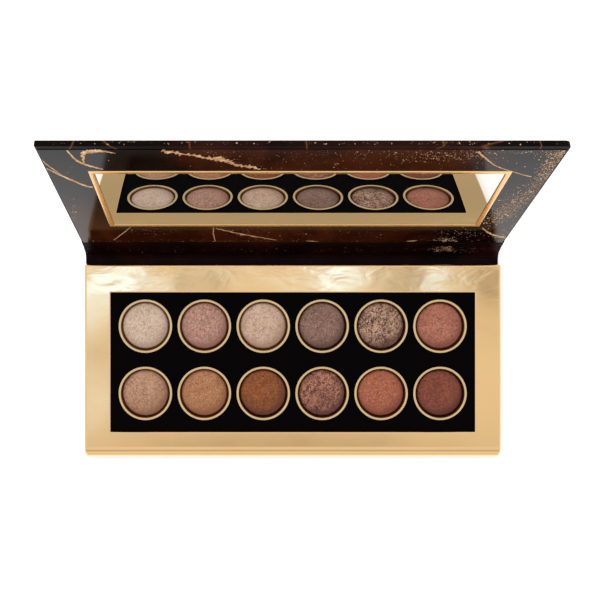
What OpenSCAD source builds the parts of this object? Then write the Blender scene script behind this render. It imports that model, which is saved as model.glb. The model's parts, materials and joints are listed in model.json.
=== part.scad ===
// Book-style eyeshadow palette: a paper-wrapped board cover that folds at two creases, a tray wrapped
// in foil that holds twelve domed powder pans, and a mirror let into the inside of the lid.
// Origin: centre of the underside. X along the hinge, +Y towards the hinge, +Z up. Millimetres.

/* [Tray] */
// Width of the foil-wrapped tray along the hinge
tray_w = 200; // [190:1:215]
// Depth of the tray, front to back
tray_d = 94; // [90:1:100]
// Height of the tray above its cover board
tray_h = 8.8; // [8.5:0.1:12]
// Corner radius of the tray's footprint
tray_corner_r = 1; // [0.5:0.1:2]
// Radius along the tray's front top edge
front_edge_r = 4; // [1:0.1:5]
// Radius along the tray's other top edges
side_edge_r = 1.1; // [0.5:0.1:2]

/* [Pans] */
// Pans in one row
pan_columns = 6; // [6]
// Rows of pans
pan_rows = 2; // [2]
// Pan spacing along the hinge
pan_pitch_x = 28.3; // [27:0.1:29]
// Pan spacing front to back
pan_pitch_y = 32.3; // [28:0.1:34]
// Radius of the rim that shows round each powder
rim_r = 12.9; // [12.6:0.1:13.2]
// Inner radius of the rim
pan_bore_r = 11.2; // [11:0.1:11.4]
// Rise of a powder's crown above its edge
powder_crown = 1.6; // [0.8:0.1:2]

/* [Cover] */
// Thickness of the lid, the spine and the bottom cover
cover_t = 2.8; // [2.6:0.1:3.2]
// How far the cover stands out past the tray on each side
cover_lip = 0.9; // [0.3:0.1:1.5]
// Lean of the lid behind the vertical
lid_lean = 23; // [0:0.5:60]
// Lean of the spine behind the vertical
spine_lean = 33; // [0:0.5:60]

/* [Mirror] */
// Width of the glass
mirror_w = 165; // [140:1:170]
// Height of the glass
mirror_h = 54; // [40:0.5:56]
// Distance from the upper hinge axis to the lower edge of the glass
mirror_from_hinge = 23; // [20:0.5:26]
// Width of the gold strip round the glass
mirror_strip_w = 1.7; // [1.5:0.1:3]

/* [Hidden] */
$fn = 96;
fine_fn = 48;
eps = 0.01;
slip = 0.05;              // clearance between glued neighbours
paper_t = 0.3;            // wrap and lining thickness
sheet_t = 0.25;           // turned-in paper and filler card
half_t = cover_t / 2;

// Tray structure, measured up from the table
tray_z0 = cover_t;
tray_top = tray_z0 + tray_h;
deck_t = 1.2;
wall_t = 1.5;
platform_t = 1.5;
platform_top = tray_top - deck_t;
platform_z0 = platform_top - platform_t;
floor_t = 1.5;
bed_t = 0.8;
floor_top = tray_z0 + floor_t;
bed_top = floor_top + bed_t;
inner_w = tray_w - 2 * wall_t - 2 * slip;
inner_d = tray_d - 2 * wall_t - 2 * slip;

// Window in the middle of the gold deck
window_w = 174.8;
window_d = 66.8;
window_r = 1;

// Pans, hung in the platform's holes by their rims
pan_body_r = 11.9;
pan_hole_r = 12;
rim_t = 0.75;
rim_top = platform_top + rim_t;
pan_floor_t = 0.6;
pan_y = 1.1;              // the pans sit a little nearer the hinge than the window's middle
powder_r = pan_bore_r - slip;
powder_edge_z = rim_top - 1.3;
powder_top_z = powder_edge_z + powder_crown;
crown_r = (powder_r * powder_r + powder_crown * powder_crown) / (2 * powder_crown);

// Hinge axes, both along X: the lower in the bottom cover's mid plane, the upper in the lid's
hinge_behind_tray = 4.7;
lower_axis_y = tray_d / 2 + hinge_behind_tray;
lower_axis_z = half_t;
closed_gap = 0.35;        // between the deck and the closed lid's lining
spine_len = tray_top + closed_gap + half_t - lower_axis_z;
upper_axis_y = lower_axis_y + spine_len * sin(spine_lean);
upper_axis_z = lower_axis_z + spine_len * cos(spine_lean);
hinge_gap = half_t + 0.2; // from each axis to the boards' ends
crease_r = 0.6;
cover_w = tray_w + 2 * cover_lip;
lid_len = lower_axis_y + tray_d / 2 + cover_lip;
lid_corner_r = 2.2;
cover_front_y = -tray_d / 2 - cover_lip;
cover_back_y = lower_axis_y - hinge_gap;

// Layers of the lid, from its outer face at +half_t to its inner face at -half_t
board_out = half_t - paper_t;
turn_in = -half_t + sheet_t;
board_in = turn_in + sheet_t;
turn_in_w = 11;
lining_inset = 0.8;       // the wrap shows past the lining at the sides
lining_top_inset = 2.8;   // and a wider band of it shows along the free edge
mirror_t = 1.2;
glue_t = 0.15;
mirror_face = -half_t + 0.15;
mirror_z = mirror_from_hinge + mirror_h / 2;
pocket_gap = 0.2;
pocket_floor = mirror_face + mirror_t + glue_t;
strip_t = 0.2;
strip_overlap = 0.6;      // of the gold strip over the glass

// Magnets, two in the lid over two in the tray
magnet_x = 62;
magnet_r = 3.5;
magnet_t = 1.2;
magnet_inset = 7.6;       // from the lid's free edge
tray_magnet_y = lower_axis_y - (lid_len - magnet_inset);

SHADES = [
    [0.84, 0.73, 0.66], [0.69, 0.50, 0.46], [0.80, 0.64, 0.55],
    [0.45, 0.35, 0.32], [0.62, 0.47, 0.38], [0.62, 0.34, 0.29],
    [0.73, 0.53, 0.43], [0.72, 0.48, 0.33], [0.52, 0.29, 0.16],
    [0.52, 0.33, 0.28], [0.66, 0.36, 0.25], [0.43, 0.22, 0.17]
];
PAN_NODES = [for (i = [1 : 12]) str("pan_", i < 10 ? "0" : "", i)];
POWDER_NODES = [for (i = [1 : 12]) str("powder_", i < 10 ? "0" : "", i)];

// ---------- shared shapes ----------

// Flat rectangle of size w by d about the origin with round corners
module round_rect(w, d, r) {
    square([w - 2 * r, d], center = true);
    square([w, d - 2 * r], center = true);
    for (x = [-1, 1], y = [-1, 1])
        translate([x * (w / 2 - r), y * (d / 2 - r)]) circle(r, $fn = fine_fn);
}

// Upright section w wide and h tall whose top corners are round: r_left at -X, r_right at +X
module domed_section(w, h, r_left, r_right) {
    translate([-w / 2 + r_left, 0]) square([w - r_left - r_right, h]);
    translate([-w / 2, 0]) square([r_left + eps, h - r_left]);
    translate([w / 2 - r_right - eps, 0]) square([r_right + eps, h - r_right]);
    translate([-w / 2 + r_left, h - r_left]) circle(r_left, $fn = fine_fn);
    translate([w / 2 - r_right, h - r_right]) circle(r_right, $fn = fine_fn);
}

// Outline of the lid in its own plane, inset all round: X along the hinge, Y away from its axis
module lid_outline(inset = 0) {
    w = cover_w - 2 * inset;
    r = lid_corner_r - inset;
    top = lid_len - inset;
    translate([-w / 2, hinge_gap]) square([w, top - r - hinge_gap]);
    translate([-w / 2 + r, top - r - eps]) square([w - 2 * r, r + eps]);
    for (x = [-1, 1]) translate([x * (w / 2 - r), top - r]) circle(r, $fn = fine_fn);
}

// A layer of the lid between two heights across its thickness, in the lid's plane
module lid_layer(from, to) {
    translate([0, to, 0]) rotate([90, 0, 0]) linear_extrude(to - from) children();
}

// Places children that are drawn about the upper hinge axis, standing straight up
module at_lid() {
    translate([0, upper_axis_y, upper_axis_z]) rotate([-lid_lean, 0, 0]) children();
}

// Places children that are drawn about the lower hinge axis, standing straight up
module at_spine() {
    translate([0, lower_axis_y, lower_axis_z]) rotate([-spine_lean, 0, 0]) children();
}

// Puts children at each pan, or at one pan when index is given
module at_pan(index) {
    column = index % pan_columns;
    row = floor(index / pan_columns);
    x = (column - (pan_columns - 1) / 2) * pan_pitch_x;
    y = pan_y + ((pan_rows - 1) / 2 - row) * pan_pitch_y;
    translate([x, y, 0]) children();
}

// ---------- bottom cover ----------

module bottom_cover_slab(inset, z0, z1) {
    front = cover_front_y + inset;
    depth = cover_back_y - front;
    translate([0, front + depth / 2, z0]) linear_extrude(z1 - z0)
        square([cover_w - 2 * inset, depth], center = true);
}

module bottom_cover_wrap() {
    color([0.09, 0.05, 0.04]) difference() {
        bottom_cover_slab(0, 0, cover_t);
        bottom_cover_slab(paper_t, paper_t, cover_t + 1);
    }
}

module bottom_cover_board() {
    color([0.55, 0.53, 0.5]) bottom_cover_slab(paper_t + slip, paper_t, cover_t - paper_t);
}

module bottom_cover_liner() {
    color([0.08, 0.05, 0.04]) bottom_cover_slab(paper_t + slip, cover_t - paper_t, cover_t);
}

// ---------- tray ----------

module tray_outer() {
    intersection() {
        translate([0, 0, tray_z0]) linear_extrude(tray_h) round_rect(tray_w, tray_d, tray_corner_r);
        translate([-tray_w / 2 - 1, 0, tray_z0]) rotate([90, 0, 90]) linear_extrude(tray_w + 2)
            domed_section(tray_d, tray_h, front_edge_r, side_edge_r);
        translate([0, tray_d / 2 + 1, tray_z0]) rotate([90, 0, 0]) linear_extrude(tray_d + 2)
            domed_section(tray_w, tray_h, side_edge_r, side_edge_r);
    }
}

module tray_shell() {
    color([0.86, 0.68, 0.38]) difference() {
        tray_outer();
        translate([0, 0, tray_z0 - 1]) linear_extrude(tray_h - deck_t + 1)
            square([tray_w - 2 * wall_t, tray_d - 2 * wall_t], center = true);
        translate([0, 0, tray_top - deck_t - 1]) linear_extrude(deck_t + 2)
            round_rect(window_w, window_d, window_r);
    }
}

module tray_floor() {
    color([0.5, 0.48, 0.45]) translate([0, 0, tray_z0]) linear_extrude(floor_t)
        square([inner_w, inner_d], center = true);
}

module pan_bed() {
    color([0.12, 0.12, 0.12]) translate([0, 0, floor_top]) linear_extrude(bed_t)
        square([inner_w, inner_d], center = true);
}

module pan_platform() {
    color([0.02, 0.02, 0.02]) difference() {
        translate([0, 0, platform_z0]) linear_extrude(platform_t)
            square([inner_w, inner_d - 2], center = true);
        for (i = [0 : pan_columns * pan_rows - 1])
            at_pan(i) translate([0, 0, platform_z0 - 1])
                cylinder(h = platform_t + 2, r = pan_hole_r);
        for (x = [-1, 1])
            translate([x * magnet_x, tray_magnet_y, platform_z0 - 1])
                cylinder(h = platform_t + 2, r = magnet_r + slip);
    }
}

module tray_magnets() {
    color([0.7, 0.7, 0.72]) for (x = [-1, 1])
        translate([x * magnet_x, tray_magnet_y, platform_top - magnet_t])
            cylinder(h = magnet_t, r = magnet_r);
}

// ---------- pans and powders ----------

module pan(index) {
    lip = 0.25;           // round-over of the rim's top edges
    color([0.86, 0.7, 0.42]) at_pan(index) rotate_extrude() difference() {
        union() {
            translate([0, bed_top]) square([pan_body_r, rim_top - bed_top]);
            translate([0, platform_top]) square([rim_r, rim_t - lip]);
            translate([0, platform_top]) square([rim_r - lip, rim_t]);
            translate([rim_r - lip, rim_top - lip]) circle(lip, $fn = 24);
        }
        translate([-1, bed_top + pan_floor_t]) square([pan_bore_r + 1, rim_top]);
    }
}

module powder(index) {
    color(SHADES[index]) at_pan(index) rotate_extrude() intersection() {
        translate([0, bed_top + pan_floor_t]) square([powder_r, powder_top_z]);
        union() {
            translate([0, powder_top_z - crown_r]) circle(crown_r, $fn = 360);
            translate([0, bed_top]) square([powder_r, powder_edge_z - bed_top]);
        }
    }
}

// ---------- hinge ----------

// Pinched paper where the cover folds, a slim roll on the hinge axis
module crease(y, z) {
    color([0.1, 0.06, 0.05]) translate([0, y, z]) rotate([0, 90, 0])
        cylinder(h = cover_w - 2, r = crease_r, center = true);
}

module lower_hinge_crease() { crease(lower_axis_y, lower_axis_z); }

module upper_hinge_crease() { crease(upper_axis_y, upper_axis_z); }

module spine_slab(y0, y1, inset) {
    translate([-cover_w / 2 + inset, y0, hinge_gap])
        cube([cover_w - 2 * inset, y1 - y0, spine_len - 2 * hinge_gap]);
}

module spine_wrap() {
    color([0.09, 0.05, 0.04]) at_spine() difference() {
        spine_slab(-half_t + paper_t, half_t, 0);
        translate([-cover_w / 2 + paper_t, -half_t, 0])
            cube([cover_w - 2 * paper_t, cover_t - paper_t, spine_len]);
    }
}

module spine_board() {
    color([0.55, 0.53, 0.5]) at_spine()
        spine_slab(-half_t + paper_t, half_t - paper_t, paper_t + slip);
}

module spine_lining() {
    color([0.05, 0.03, 0.03]) at_spine() spine_slab(-half_t, -half_t + paper_t, 0);
}

// ---------- lid ----------

module mirror_rect(grow) {
    translate([0, mirror_z]) square([mirror_w + 2 * grow, mirror_h + 2 * grow], center = true);
}

module lid_wrap() {
    color([0.09, 0.05, 0.04]) at_lid() {
        lid_layer(board_out, half_t) lid_outline();
        lid_layer(turn_in, board_out) difference() {
            lid_outline();
            lid_outline(paper_t);
        }
        lid_layer(turn_in, board_in) difference() {
            lid_outline(paper_t - eps);
            translate([0, lid_len / 2 - turn_in_w])
                square([cover_w - 2 * turn_in_w, lid_len], center = true);
        }
    }
}

module lid_board() {
    color([0.55, 0.53, 0.5]) at_lid() difference() {
        lid_layer(board_in, board_out) lid_outline(paper_t + slip);
        lid_layer(board_in - 1, pocket_floor) mirror_rect(pocket_gap);
        for (x = [-1, 1])
            translate([x * magnet_x, board_in + magnet_t + slip, lid_len - magnet_inset])
                rotate([90, 0, 0]) cylinder(h = magnet_t + 2, r = magnet_r + slip);
    }
}

module lid_filler_card() {
    color([0.6, 0.58, 0.55]) at_lid() lid_layer(turn_in, board_in) difference() {
        card_w = cover_w - 2 * turn_in_w - 2 * slip;
        card_d = lid_len - turn_in_w - slip - hinge_gap;
        translate([0, hinge_gap + card_d / 2]) square([card_w, card_d], center = true);
        mirror_rect(pocket_gap);
    }
}

module lid_lining() {
    w = cover_w - 2 * lining_inset;
    top = lid_len - lining_top_inset;
    color([0.05, 0.03, 0.03]) at_lid() lid_layer(-half_t, turn_in) difference() {
        translate([-w / 2, hinge_gap]) square([w, top - hinge_gap]);
        mirror_rect(pocket_gap);
    }
}

module lid_magnets() {
    color([0.7, 0.7, 0.72]) at_lid() for (x = [-1, 1])
        translate([x * magnet_x, board_in + magnet_t, lid_len - magnet_inset]) rotate([90, 0, 0])
            cylinder(h = magnet_t, r = magnet_r);
}

module mirror_adhesive() {
    color([0.9, 0.9, 0.88]) at_lid() lid_layer(pocket_floor - glue_t, pocket_floor) mirror_rect(-3);
}

module mirror_glass() {
    color([0.85, 0.88, 0.9]) at_lid() lid_layer(mirror_face, mirror_face + mirror_t) mirror_rect(0);
}

module mirror_gold_strip() {
    color([0.86, 0.66, 0.36]) at_lid() lid_layer(-half_t - strip_t, -half_t) difference() {
        mirror_rect(mirror_strip_w);
        mirror_rect(-strip_overlap);
    }
}

// ---------- drawing ----------

bottom_cover_wrap();
bottom_cover_board();
bottom_cover_liner();
tray_shell();
tray_floor();
pan_bed();
pan_platform();
tray_magnets();
lower_hinge_crease();
for (i = [0 : 11]) pan(i);
for (i = [0 : 11]) powder(i);
spine_wrap();
spine_board();
spine_lining();
upper_hinge_crease();
lid_wrap();
lid_board();
lid_filler_card();
lid_lining();
lid_magnets();
mirror_adhesive();
mirror_glass();
mirror_gold_strip();
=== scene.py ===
"""Looks for the eyeshadow palette: foil-wrapped tray, baked powders, and a marbled lid with its mirror."""

import json
import math
import random

import bpy
from mathutils import Matrix, Vector, noise


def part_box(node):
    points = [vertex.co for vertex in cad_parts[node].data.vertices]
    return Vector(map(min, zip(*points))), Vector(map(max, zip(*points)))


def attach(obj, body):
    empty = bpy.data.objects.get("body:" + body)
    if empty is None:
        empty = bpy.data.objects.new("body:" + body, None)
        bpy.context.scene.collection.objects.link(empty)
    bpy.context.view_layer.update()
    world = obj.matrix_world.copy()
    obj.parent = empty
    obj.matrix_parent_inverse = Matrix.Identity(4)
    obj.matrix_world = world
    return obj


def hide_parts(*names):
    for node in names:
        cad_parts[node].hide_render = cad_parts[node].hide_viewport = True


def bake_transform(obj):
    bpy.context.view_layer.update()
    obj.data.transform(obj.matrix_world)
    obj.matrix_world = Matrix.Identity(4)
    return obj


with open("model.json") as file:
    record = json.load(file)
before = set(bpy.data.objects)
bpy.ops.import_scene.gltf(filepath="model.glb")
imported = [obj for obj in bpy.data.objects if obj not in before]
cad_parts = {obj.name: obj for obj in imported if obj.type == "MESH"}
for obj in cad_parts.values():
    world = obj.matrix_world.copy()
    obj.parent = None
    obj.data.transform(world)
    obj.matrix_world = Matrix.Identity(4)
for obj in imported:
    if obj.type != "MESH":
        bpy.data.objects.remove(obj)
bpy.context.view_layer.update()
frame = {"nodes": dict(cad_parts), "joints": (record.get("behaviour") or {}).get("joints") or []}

MM = 0.001

# The cover, in millimetres, as the CAD model has it
COVER_T = 2.8
HALF_T = COVER_T / 2
HINGE_GAP = 1.6
LID_CORNER_R = 2.2
LINING_INSET = 0.8
LINING_TOP_INSET = 2.8
LINING_T = 0.25
GROOVE_INSIDE = 0.28   # how deep each fold is pressed in, on the inner and the outer face
GROOVE_OUTSIDE = 0.35
SKIN = 0.02            # how far the print lies inside the CAD surface, to leave room for the foil
FOIL_LIFT = 0.012      # foil stamping above the print

# The tray and its window
DECK_T = 1.2
WINDOW_W = 174.8
WINDOW_D = 66.8
FRONT_R = 6.5
EDGE_R = 1.1
WINDOW_R = 0.6
SUPPORT = 0.12         # keeps a rounded edge's shading off the flat next to it

# Pans and powders
RIM_R = 12.9
BORE_R = 11.2
RIM_WALL = 0.55        # how far the rim's inner wall opens out from the bore to the roll
ROLL_H = 0.4           # height of the rolled rim
POWDER_R = 11.12
POWDER_CROWN = 1.6
PAINTED_LIGHT_SPOT = (1.4, 2.6)      # where a powder's painted light is brightest: left of and behind its middle
EDGE_UNIT = 12.0       # the powders' painted light and shade is laid out in shares of this distance

# How the lid's inside bows: its slope at a height above the hinge, and its growth per metre from there
BOW_FROM = 0.037
BOW_SLOPE = 0.013
BOW_GROWTH = 0.68

# How far the varnished slabs' edges lean inwards per millimetre of height: the mean of the two sides,
# and what the right side has over it
VARNISH_SLANT = 0.28
VARNISH_SLANT_MORE = 0.03

# The mirror
MIRROR_W = 165.0
MIRROR_H = 54.0
MIRROR_FROM_HINGE = 23.0
STRIP_W = 1.7
STRIP_OVERLAP = 0.6


def mm(point):
    """A point in the row frame, from metres to millimetres."""
    return Vector(point) / MM


JOINTS = {j["name"]: j for j in frame["joints"]}
LOWER_AXIS = mm(JOINTS["spine_fold"]["pos_m"])
UPPER_AXIS = mm(JOINTS["lid_fold"]["pos_m"])
TRAY_LO, TRAY_HI = (mm(corner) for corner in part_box("tray_shell"))
COVER_LO, COVER_HI = (mm(corner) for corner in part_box("bottom_cover_wrap"))
COVER_W = COVER_HI.x - COVER_LO.x
SPINE_LEN = (UPPER_AXIS - LOWER_AXIS).length

# The palette is shut when both folds are at their upper limits, with the spine upright and the lid level
SPINE_LEAN = JOINTS["spine_fold"]["range_deg"][1]
LID_LEAN = SPINE_LEAN + JOINTS["lid_fold"]["range_deg"][1] - 90
LID_LEN = LOWER_AXIS.y - COVER_LO.y

# Local frames with X along the hinge, Y out of the cover's outer face and Z away from the hinge axis
LID_FRAME = Matrix.Translation(UPPER_AXIS) @ Matrix.Rotation(math.radians(-LID_LEAN), 4, "X")
SPINE_FRAME = Matrix.Translation(LOWER_AXIS) @ Matrix.Rotation(math.radians(-SPINE_LEAN), 4, "X")


def srgb(r, g, b):
    """An 8-bit screen colour as the linear colour that shaders take."""
    def channel(c):
        c /= 255
        return c / 12.92 if c <= 0.04045 else ((c + 0.055) / 1.055) ** 2.4
    return (channel(r), channel(g), channel(b), 1.0)


# ---------- materials ----------

class Nodes:
    """A node tree with one short call per node."""

    def __init__(self, tree):
        self.tree = tree

    def node(self, kind, **settings):
        """A new node with the given properties."""
        made = self.tree.nodes.new(kind)
        for key, value in settings.items():
            setattr(made, key, value)
        return made

    def feed(self, socket, value):
        """Links an output to a socket, or sets the socket to a plain value."""
        if isinstance(value, bpy.types.NodeSocket):
            self.tree.links.new(value, socket)
        else:
            socket.default_value = value

    def math(self, operation, a, b=0.0, clamp=False):
        """The result of one operation on two values."""
        made = self.node("ShaderNodeMath", operation=operation, use_clamp=clamp)
        self.feed(made.inputs[0], a)
        self.feed(made.inputs[1], b)
        return made.outputs[0]

    def split(self, vector):
        """A vector's X, Y and Z outputs."""
        made = self.node("ShaderNodeSeparateXYZ")
        self.feed(made.inputs[0], vector)
        return made.outputs


class Graph(Nodes):
    """A material's node tree, with its shader and the place on the object."""

    def __init__(self, name):
        self.material = bpy.data.materials.new(name)
        self.material.use_nodes = True
        super().__init__(self.material.node_tree)
        self.shader = self.tree.nodes["Principled BSDF"]
        self.place = self.node("ShaderNodeTexCoord").outputs["Object"]

    def set(self, **values):
        """Sets or links the shader's sockets, with Base_Color for 'Base Color'."""
        for key, value in values.items():
            self.feed(self.shader.inputs[key.replace("_", " ")], value)

    def stretched(self, x, y, z):
        """The place on the object with each axis multiplied."""
        made = self.node("ShaderNodeVectorMath", operation="MULTIPLY")
        self.feed(made.inputs[0], self.place)
        made.inputs[1].default_value = (x, y, z)
        return made.outputs[0]

    def noise(self, scale, detail=2.0, rough=0.5, distortion=0.0, vector=None, offset=0.0):
        """Noise with scale features to the metre, at a chosen offset."""
        made = self.node("ShaderNodeTexNoise", noise_dimensions="4D")
        self.feed(made.inputs["Vector"], vector or self.place)
        made.inputs["W"].default_value = offset
        made.inputs["Scale"].default_value = scale
        made.inputs["Detail"].default_value = detail
        made.inputs["Roughness"].default_value = rough
        made.inputs["Distortion"].default_value = distortion
        return made.outputs["Fac"]

    def cells(self, scale, feature="F1"):
        """The distance to the nearest cell's centre or edge."""
        made = self.node("ShaderNodeTexVoronoi", feature=feature)
        self.feed(made.inputs["Vector"], self.place)
        made.inputs["Scale"].default_value = scale
        return made.outputs["Distance"]

    def ramp(self, value, *stops):
        """Maps a value through (position, colour or level) stops."""
        made = self.node("ShaderNodeValToRGB")
        elements = made.color_ramp.elements
        while len(elements) < len(stops):
            elements.new(0.5)
        for element, (position, level) in zip(elements, stops):
            element.position = position
            element.color = level if isinstance(level, tuple) else (level, level, level, 1.0)
        self.feed(made.inputs["Fac"], value)
        return made.outputs["Color"]

    def mix(self, share, a, b):
        """From a to b by a share."""
        made = self.node("ShaderNodeMix", data_type="RGBA")
        self.feed(made.inputs["Factor"], share)
        self.feed(made.inputs[6], a)
        self.feed(made.inputs[7], b)
        return made.outputs[2]

    def distance(self, x, y, unit):
        """How far a place lies from a point in the floor plan, as a share of a unit in millimetres."""
        away = self.node("ShaderNodeVectorMath", operation="DISTANCE")
        self.feed(away.inputs[0], self.stretched(1, 1, 0))
        away.inputs[1].default_value = (x * MM, y * MM, 0)
        return self.math("MULTIPLY", away.outputs["Value"], 1 / (unit * MM))

    def bump(self, height, distance, below=None):
        """A normal from a height map, distance deep in metres, laid over another normal."""
        made = self.node("ShaderNodeBump")
        made.inputs["Strength"].default_value = 1.0
        made.inputs["Distance"].default_value = distance
        self.feed(made.inputs["Height"], height)
        if below is not None:
            self.feed(made.inputs["Normal"], below)
        return made.outputs["Normal"]


def gold_foil():
    """Metallised paper: mirror-like, wavy on its board, buckled and crinkled along the back margin."""
    g = Graph("gold_foil")
    waves = g.bump(g.noise(26, 1.0, distortion=0.6), 0.00016)
    behind = g.math("MULTIPLY", g.split(g.place)["Y"], 10.0)
    buckle = g.noise(85, 2.0, 0.45, 1.2, vector=g.stretched(0.7, 1.2, 1), offset=1.3)
    margin = g.ramp(behind, (0.29, 0.1), (0.39, 1.0))
    buckled = g.math("MULTIPLY", g.math("SUBTRACT", buckle, 0.5), margin)
    ripples = g.bump(buckled, 0.00011, below=waves)
    back = g.ramp(behind, (0.41, 0.0), (0.455, 1.0))
    patch = g.ramp(g.noise(38, 1.0, offset=4.2), (0.5, 0.0), (0.66, 1.0))
    folds = g.noise(330, 3.0, 0.6, 1.5, vector=g.stretched(0.5, 1.4, 1))
    folded = g.math("MULTIPLY", folds, g.math("MULTIPLY", back, patch))
    crinkle = g.bump(folded, 0.00022, below=ripples)
    grain = g.bump(g.noise(2600, 3.0), 0.0000025, below=crinkle)
    tone = g.mix(g.noise(40, 2.0), srgb(234, 190, 126), srgb(238, 198, 138))
    g.set(Base_Color=tone, Metallic=1.0, Normal=grain)
    g.set(Roughness=g.ramp(g.noise(70, 3.0), (0.3, 0.05), (0.7, 0.11)))
    g.set(Coat_Weight=1.0, Coat_Roughness=0.05, Coat_IOR=1.5)
    return g.material


def pan_metal(rim_z):
    """Pressed aluminium: pale gold on its rolled rim with turning marks, and painted shade: dark bronze
    down inside.
    """
    g = Graph("pan_metal")
    # Painted shade: the metal turns dark bronze with depth below the rim, where the inner wall lies in
    # shadow
    below = g.math("MULTIPLY", g.math("SUBTRACT", rim_z * MM, g.split(g.place)["Z"]), 1 / MM)
    inside = g.ramp(below, (0.22, 0.0), (0.42, 1.0))
    marks = g.bump(g.noise(1500, 2.0, vector=g.stretched(1, 1, 4)), 0.000012)
    pale = g.mix(g.noise(300, 3.0), srgb(208, 176, 126), srgb(230, 204, 160))
    g.set(Base_Color=g.mix(inside, pale, srgb(140, 94, 56)), Metallic=1.0, Normal=marks)
    g.set(Roughness=g.ramp(g.noise(700, 2.0), (0.3, 0.26), (0.7, 0.38)))
    return g.material


def gold_strip():
    """The foil strip round the mirror: smoother than the tray and a little redder."""
    g = Graph("gold_strip")
    waves = g.bump(g.noise(60, 2.0), 0.00012)
    g.set(Base_Color=g.mix(g.noise(90), srgb(226, 178, 118), srgb(238, 200, 146)))
    g.set(Metallic=1.0, Normal=waves)
    g.set(Roughness=g.ramp(g.noise(200, 2.0), (0.3, 0.2), (0.7, 0.3)))
    return g.material


def stamped_foil():
    """Gold foil stamped on the print: broken in tone, from pale gold to copper."""
    g = Graph("stamped_foil")
    copper, gold, pale = srgb(172, 118, 76), srgb(204, 156, 108), srgb(234, 204, 166)
    tone = g.ramp(g.noise(420, 2.0), (0.3, copper), (0.5, gold), (0.7, pale))
    g.set(Base_Color=tone, Metallic=0.4, Roughness=0.5)
    g.set(Normal=g.bump(g.noise(1800, 2.0), 0.00003))
    return g.material


def lid_place(g):
    """A place's distance across the lid from its middle, and up it from the hinge, in metres."""
    axes = g.split(g.place)
    up = g.math("SUBTRACT", axes["Z"], UPPER_AXIS.z * MM)
    return axes["X"], g.math("MULTIPLY", up, 1 / math.cos(math.radians(LID_LEAN)))


def marble_print(name, roughness, gloss, brown=1.0, cracks=0.0):
    """Printed paper: near-black slabs, brown ones in the middle and low on the left, and foil dust."""
    g = Graph(name)
    across, up = lid_place(g)
    wander = g.math("MULTIPLY", g.math("SUBTRACT", g.noise(30, 4.0, 0.6), 0.5), 0.05)
    across = g.math("ADD", g.math("MULTIPLY", g.math("ADD", across, wander), 5.0), 0.5)
    middle = g.ramp(across, (0.22, 0.0), (0.29, brown), (0.8, 0.8 * brown), (0.86, 0.0))
    left = g.ramp(across, (0.28, 0.75 * brown), (0.33, 0.0))
    low = g.ramp(g.math("MULTIPLY", up, 10.0), (0.44, 1.0), (0.54, 0.0))
    slab = g.math("MAXIMUM", middle, g.math("MULTIPLY", left, low))
    clouds = g.noise(34, 5.0, 0.62, 1.0)
    black, soot, ember = srgb(3, 1, 2), srgb(14, 4, 3), srgb(34, 10, 6)
    dark = g.ramp(clouds, (0.35, black), (0.55, soot), (0.7, ember), (0.8, srgb(10, 4, 4)))
    warm = g.ramp(clouds, (0.3, srgb(34, 10, 4)), (0.5, srgb(56, 22, 8)), (0.7, srgb(72, 31, 12)))
    tone = g.mix(slab, dark, warm)
    if cracks:
        edge = g.ramp(g.cells(24, "DISTANCE_TO_EDGE"), (0.0, cracks), (0.012, 0.0))
        tone = g.mix(edge, tone, srgb(150, 92, 58))
    dust = g.ramp(g.cells(1100), (0.06, 1.0), (0.13, 0.0))
    where = g.ramp(g.noise(45, 3.0), (0.5, 0.0), (0.68, 0.4))
    tone = g.mix(g.math("MULTIPLY", dust, where), tone, srgb(190, 130, 92))
    ripple = g.bump(g.noise(150, 2.0), 0.000012)
    g.set(Base_Color=tone, Normal=ripple)
    g.set(Roughness=roughness, IOR=1.5, Specular_IOR_Level=gloss)
    return g


def lining_paper():
    """The lining: marble print, with gloss varnish on the slabs at both sides and satin between them."""
    g = marble_print("lining_print", 0.12, 0.5)
    across, up = lid_place(g)
    more = g.math("MULTIPLY", g.math("SIGN", across), VARNISH_SLANT_MORE)
    slant = g.math("ADD", more, VARNISH_SLANT)
    reach = g.math("ADD", g.math("ABSOLUTE", across), g.math("MULTIPLY", up, slant))
    varnish = g.ramp(g.math("MULTIPLY", reach, 10.0), (0.975, 0.0), (0.995, 1.0))
    g.set(Specular_IOR_Level=g.mix(varnish, (0.04, 0.04, 0.04, 1), (0.25, 0.25, 0.25, 1)))
    ripple = g.shader.inputs["Normal"].links[0].from_socket
    g.set(Normal=bow(g, ripple))
    return g.material


def bow(g, below=None):
    """The lid's inside bows back towards its free edge, a degree or two by the top of the mirror."""
    _, up = lid_place(g)
    past = g.math("SUBTRACT", up, BOW_FROM)
    curve = g.math("MULTIPLY", g.math("MULTIPLY", past, past), -BOW_GROWTH / 2)
    return g.bump(g.math("SUBTRACT", curve, g.math("MULTIPLY", up, BOW_SLOPE)), 1.0, below)


def silvered_glass():
    """The mirror glass, all but flat: it follows the lid's bow."""
    g = Graph("silvered_glass")
    g.set(Base_Color=srgb(226, 226, 222), Metallic=1.0, Roughness=0.015, Normal=bow(g))
    return g.material


def darker(colour, share):
    """A colour dimmed to a share of itself."""
    return tuple(c * share for c in colour[:3]) + (1.0,)


def card(name, colour, rough=0.75, specular=0.4):
    """Uncoated board: fibres in tone and relief."""
    g = Graph(name)
    fibres = g.noise(1400, 4.0, 0.6, vector=g.stretched(1, 0.4, 1))
    g.set(Base_Color=g.mix(fibres, darker(colour, 0.7), colour))
    g.set(Roughness=rough, Specular_IOR_Level=specular)
    g.set(Normal=g.bump(fibres, 0.00003))
    return g.material


def plain_metal(name, colour, rough):
    """Plated metal with a slightly uneven tone."""
    g = Graph(name)
    g.set(Base_Color=g.mix(g.noise(300, 2.0), colour, darker(colour, 0.8)))
    g.set(Metallic=1.0, Roughness=rough)
    return g.material


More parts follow.
